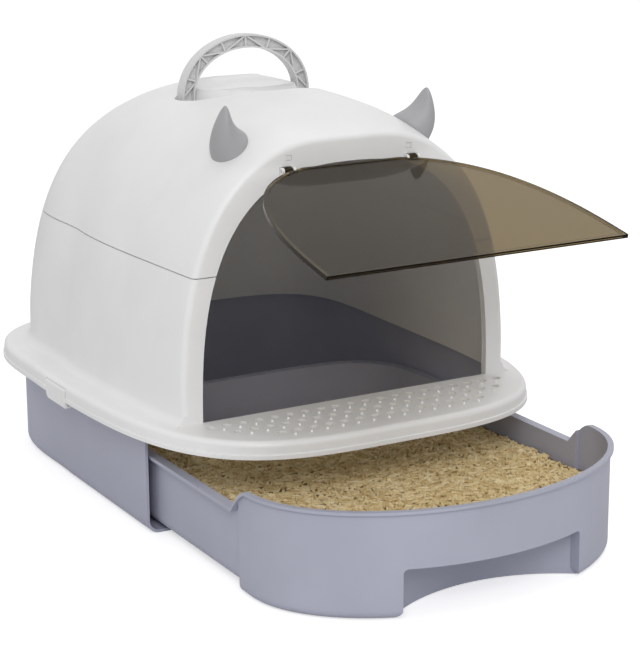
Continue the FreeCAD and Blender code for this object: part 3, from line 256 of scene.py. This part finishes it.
# Pressed plant-fibre pellets: matte and dry, each a slightly different tan. The shade is picked by
# fine cells, about one to a pellet.
def pressed_fibre(name, dark, middle, pale):
    material, tree, output = new_material(name)
    place = add_node(tree, "ShaderNodeTexCoord").outputs["Object"]
    cells = add_node(tree, "ShaderNodeTexVoronoi", {"Scale": 1000 / 5.0}, {"Vector": place})
    cell_value = add_node(tree, "ShaderNodeSeparateColor", {}, {"Color": cells.outputs["Color"]})
    shade = add_node(tree, "ShaderNodeValToRGB", {}, {"Fac": cell_value.outputs["Red"]})
    shade.color_ramp.elements[0].color = linear(dark)
    shade.color_ramp.elements[1].color = linear(pale)
    between = shade.color_ramp.elements.new(0.5)
    between.color = linear(middle)
    fibres = add_node(tree, "ShaderNodeTexNoise", {"Scale": 1000 / 0.8, "Detail": 3.0}, {"Vector": place})
    relief = add_node(
        tree, "ShaderNodeBump", {"Strength": 0.5, "Distance": 0.0002}, {"Height": fibres.outputs["Fac"]}
    )
    shader = add_node(
        tree,
        "ShaderNodeBsdfPrincipled",
        {"Roughness": 0.85, "IOR": 1.45},
        {"Base Color": shade.outputs["Color"], "Normal": relief.outputs["Normal"]},
    )
    tree.links.new(shader.outputs["BSDF"], output.inputs["Surface"])
    return material


# The pellets on top are pale tan. The bed under them is seen only in the gaps, and its darker brown is
# painted shade for the gaps between the pellets.
litter_material = pressed_fibre("pressed_fibre_pellets_tan", "#CBB07E", "#E0CB9B", "#EFDEB6")
bed_painted_shade_material = pressed_fibre("pressed_fibre_bed_painted_shade_brown", "#6E5A3C", "#7C6745", "#8B7550")

# The solid bed takes the darker brown: painted shade that shows in the gaps between the pellets.
finish_node("litter_fill", bed_painted_shade_material)
middle_y = (LITTER_LOW.y + LITTER_HIGH.y) / 2
strips = (
    ("litter_pellets_front", LITTER_LOW.y, middle_y - STRIP_BREAK, 11),
    ("litter_pellets_back", middle_y - STRIP_BREAK, LITTER_HIGH.y, 12),
)
for name, y_from, y_to, seed in strips:
    pellets = pour_pellets(name, y_from, y_to, seed)
    pellets.data.materials.append(litter_material)
    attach(pellets, "drawer")


# Hood. Two white polypropylene mouldings: the lower one with the porch deck, and the crown that
# sits over a lap ring at the seam. The mould surface is smooth, so the white has a soft gloss.
# The loose scoop is moulded in the same white.
white_plastic = moulded_plastic("moulded_polypropylene_white", "#ECECEC", "#E6E6E6", 0.4, 0.03)
for name in ("lower_hood", "upper_hood", "scoop"):
    finish_node(name, white_plastic)


# Carrying handle. A lighter grey-white polypropylene half ring, ribbed on both sides like a truss.
handle_plastic = moulded_plastic("moulded_polypropylene_pale_grey", "#DADADA", "#D2D2D2", 0.42, 0.03)
finish_node("carry_handle", handle_plastic)


# Ears. Two separate mouldings in plain mid grey, with a flatter finish than the hood. A white clip
# inside the hood holds each one.
ear_plastic = moulded_plastic("moulded_polypropylene_mid_grey", "#A9A9AB", "#A2A2A4", 0.5, 0.04)
for side in ("left", "right"):
    finish_node("ear_" + side, ear_plastic)
    finish_node("ear_clip_" + side, white_plastic)


# Flap. A smoked polystyrene sheet with a thicker rim, clear enough to see through. It hangs by two
# short barrels of its own between the lugs of two white brackets behind the hood's face. The index
# is lower than the real 1.59, because the sheet then passes as much light as the real one seems to.
flap_material, tree, output = new_material("smoked_clear_polystyrene")
shader = add_node(
    tree,
    "ShaderNodeBsdfPrincipled",
    {
        "Base Color": linear("#736343"),
        "Roughness": 0.06,
        "IOR": 1.2,
        "Transmission Weight": 1.0,
    },
)
tree.links.new(shader.outputs["BSDF"], output.inputs["Surface"])
finish_node("flap_panel", flap_material)

for side in ("left", "right"):
    finish_node("flap_bracket_" + side, white_plastic)


# Pins. Cut steel wire, drawn bright, pressed in at both ends.
steel_material, tree, output = new_material("drawn_steel_wire")
place = add_node(tree, "ShaderNodeTexCoord").outputs["Object"]
streaks = add_node(tree, "ShaderNodeTexNoise", {"Scale": 1000 / 1.5, "Detail": 2.0}, {"Vector": place})
gloss = add_node(
    tree, "ShaderNodeMapRange", {"To Min": 0.22, "To Max": 0.38}, {"Value": streaks.outputs["Fac"]}
)
shader = add_node(
    tree,
    "ShaderNodeBsdfPrincipled",
    {"Base Color": linear("#C9C9C7"), "Metallic": 1.0},
    {"Roughness": gloss.outputs["Result"]},
)
tree.links.new(shader.outputs["BSDF"], output.inputs["Surface"])
for side in ("left", "right"):
    for kind in ("flap_pin_", "handle_pin_", "latch_pin_"):
        finish_node(kind + side, steel_material)


# Side latches. White polypropylene clips, hinged on the deck's edge, that hook under the tub's ledge.
for side in ("left", "right"):
    finish_node("side_latch_" + side, white_plastic)


# Floor and light: a white studio floor that keeps the shadow, two large soft lamps and a pale room.
floor_mesh = bpy.data.meshes.new("studio_floor")
shape = bmesh.new()
bmesh.ops.create_grid(shape, x_segments=1, y_segments=1, size=30.0)
shape.to_mesh(floor_mesh)
shape.free()
floor = bpy.data.objects.new("studio_floor", floor_mesh)
bpy.context.scene.collection.objects.link(floor)
floor_material, tree, output = new_material("white_studio_floor")
rays = add_node(tree, "ShaderNodeLightPath")
seen = add_node(tree, "ShaderNodeMath", {"operation": "MAXIMUM"})
tree.links.new(rays.outputs["Is Camera Ray"], seen.inputs[0])
tree.links.new(rays.outputs["Is Transmission Ray"], seen.inputs[1])
matte = add_node(tree, "ShaderNodeBsdfDiffuse", {"Color": linear("#E4E4E4")})
glow = add_node(tree, "ShaderNodeEmission", {"Color": (1, 1, 1, 1), "Strength": 0.55})
lifted = add_node(tree, "ShaderNodeAddShader")
tree.links.new(matte.outputs["BSDF"], lifted.inputs[0])
tree.links.new(glow.outputs["Emission"], lifted.inputs[1])
choice = add_node(tree, "ShaderNodeMixShader", {}, {"Fac": seen.outputs["Value"]})
tree.links.new(matte.outputs["BSDF"], choice.inputs[1])
tree.links.new(lifted.outputs["Shader"], choice.inputs[2])
tree.links.new(choice.outputs["Shader"], output.inputs["Surface"])
floor_mesh.materials.append(floor_material)

world = bpy.data.worlds.new("studio_room")
bpy.context.scene.world = world
world.use_nodes = True
tree = world.node_tree
tree.nodes.clear()
rays = add_node(tree, "ShaderNodeLightPath")
direct = add_node(tree, "ShaderNodeMath", {"operation": "MAXIMUM"})
tree.links.new(rays.outputs["Is Camera Ray"], direct.inputs[0])
tree.links.new(rays.outputs["Is Transmission Ray"], direct.inputs[1])
shown = add_node(tree, "ShaderNodeMath", {"operation": "MAXIMUM"}, {})
tree.links.new(direct.outputs["Value"], shown.inputs[0])
tree.links.new(rays.outputs["Is Glossy Ray"], shown.inputs[1])
room = add_node(tree, "ShaderNodeBackground", {"Color": (1, 1, 1, 1), "Strength": 0.6})
white = add_node(tree, "ShaderNodeBackground", {"Color": (1, 1, 1, 1), "Strength": 1.0})
choice = add_node(tree, "ShaderNodeMixShader", {}, {"Fac": shown.outputs["Value"]})
tree.links.new(room.outputs["Background"], choice.inputs[1])
tree.links.new(white.outputs["Background"], choice.inputs[2])
output = add_node(tree, "ShaderNodeOutputWorld", {}, {"Surface": choice.outputs["Shader"]})


def softbox(name, place, target, size, watts):
    """A square area lamp that points at a target."""
    lamp = bpy.data.lights.new(name, "AREA")
    lamp.shape = "SQUARE"
    lamp.size = size
    lamp.energy = watts
    holder = bpy.data.objects.new(name, lamp)
    bpy.context.scene.collection.objects.link(holder)
    holder.location = place
    aim = Vector(target) - Vector(place)
    holder.rotation_mode = "QUATERNION"
    holder.rotation_quaternion = aim.to_track_quat("-Z", "Y")


softbox("key_softbox", (-1.5, -2.75, 2.2), (0, -0.15, 0.12), 1.5, 41)
softbox("top_softbox", (0.6, 0.2, 3.0), (0, 0, 0.15), 2.2, 13)


# Camera: at the photograph's place, a little above the hood and to the left of the doorway.
CAMERA_PLACE = (-0.8585, -1.6688, 0.6248)
CAMERA_FORWARD = (0.48063, 0.83701, -0.26153)
CAMERA_RIGHT = (0.86658, -0.49901, -0.0045)
FOCAL_PIXELS = 2031.8
PHOTO_WIDTH, PHOTO_HEIGHT = 640, 655
CENTRE_PIXEL = (321.86, 329.75)
camera_data = bpy.data.cameras.new("camera")
camera = bpy.data.objects.new("camera", camera_data)
bpy.context.scene.collection.objects.link(camera)
bpy.context.scene.camera = camera
forward = Vector(CAMERA_FORWARD).normalized()
right = Vector(CAMERA_RIGHT)
right = (right - forward * right.dot(forward)).normalized()
up = right.cross(forward)
turn = Matrix((right, up, -forward)).transposed()
camera.matrix_world = Matrix.Translation(CAMERA_PLACE) @ turn.to_4x4()
camera_data.sensor_width = 36.0
camera_data.lens = FOCAL_PIXELS * camera_data.sensor_width / PHOTO_HEIGHT
camera_data.shift_x = (PHOTO_WIDTH / 2 - CENTRE_PIXEL[0]) / PHOTO_HEIGHT
camera_data.shift_y = (CENTRE_PIXEL[1] - PHOTO_HEIGHT / 2) / PHOTO_HEIGHT
camera_data.clip_end = 100.0

bpy.context.scene.view_settings.view_transform = "Standard"
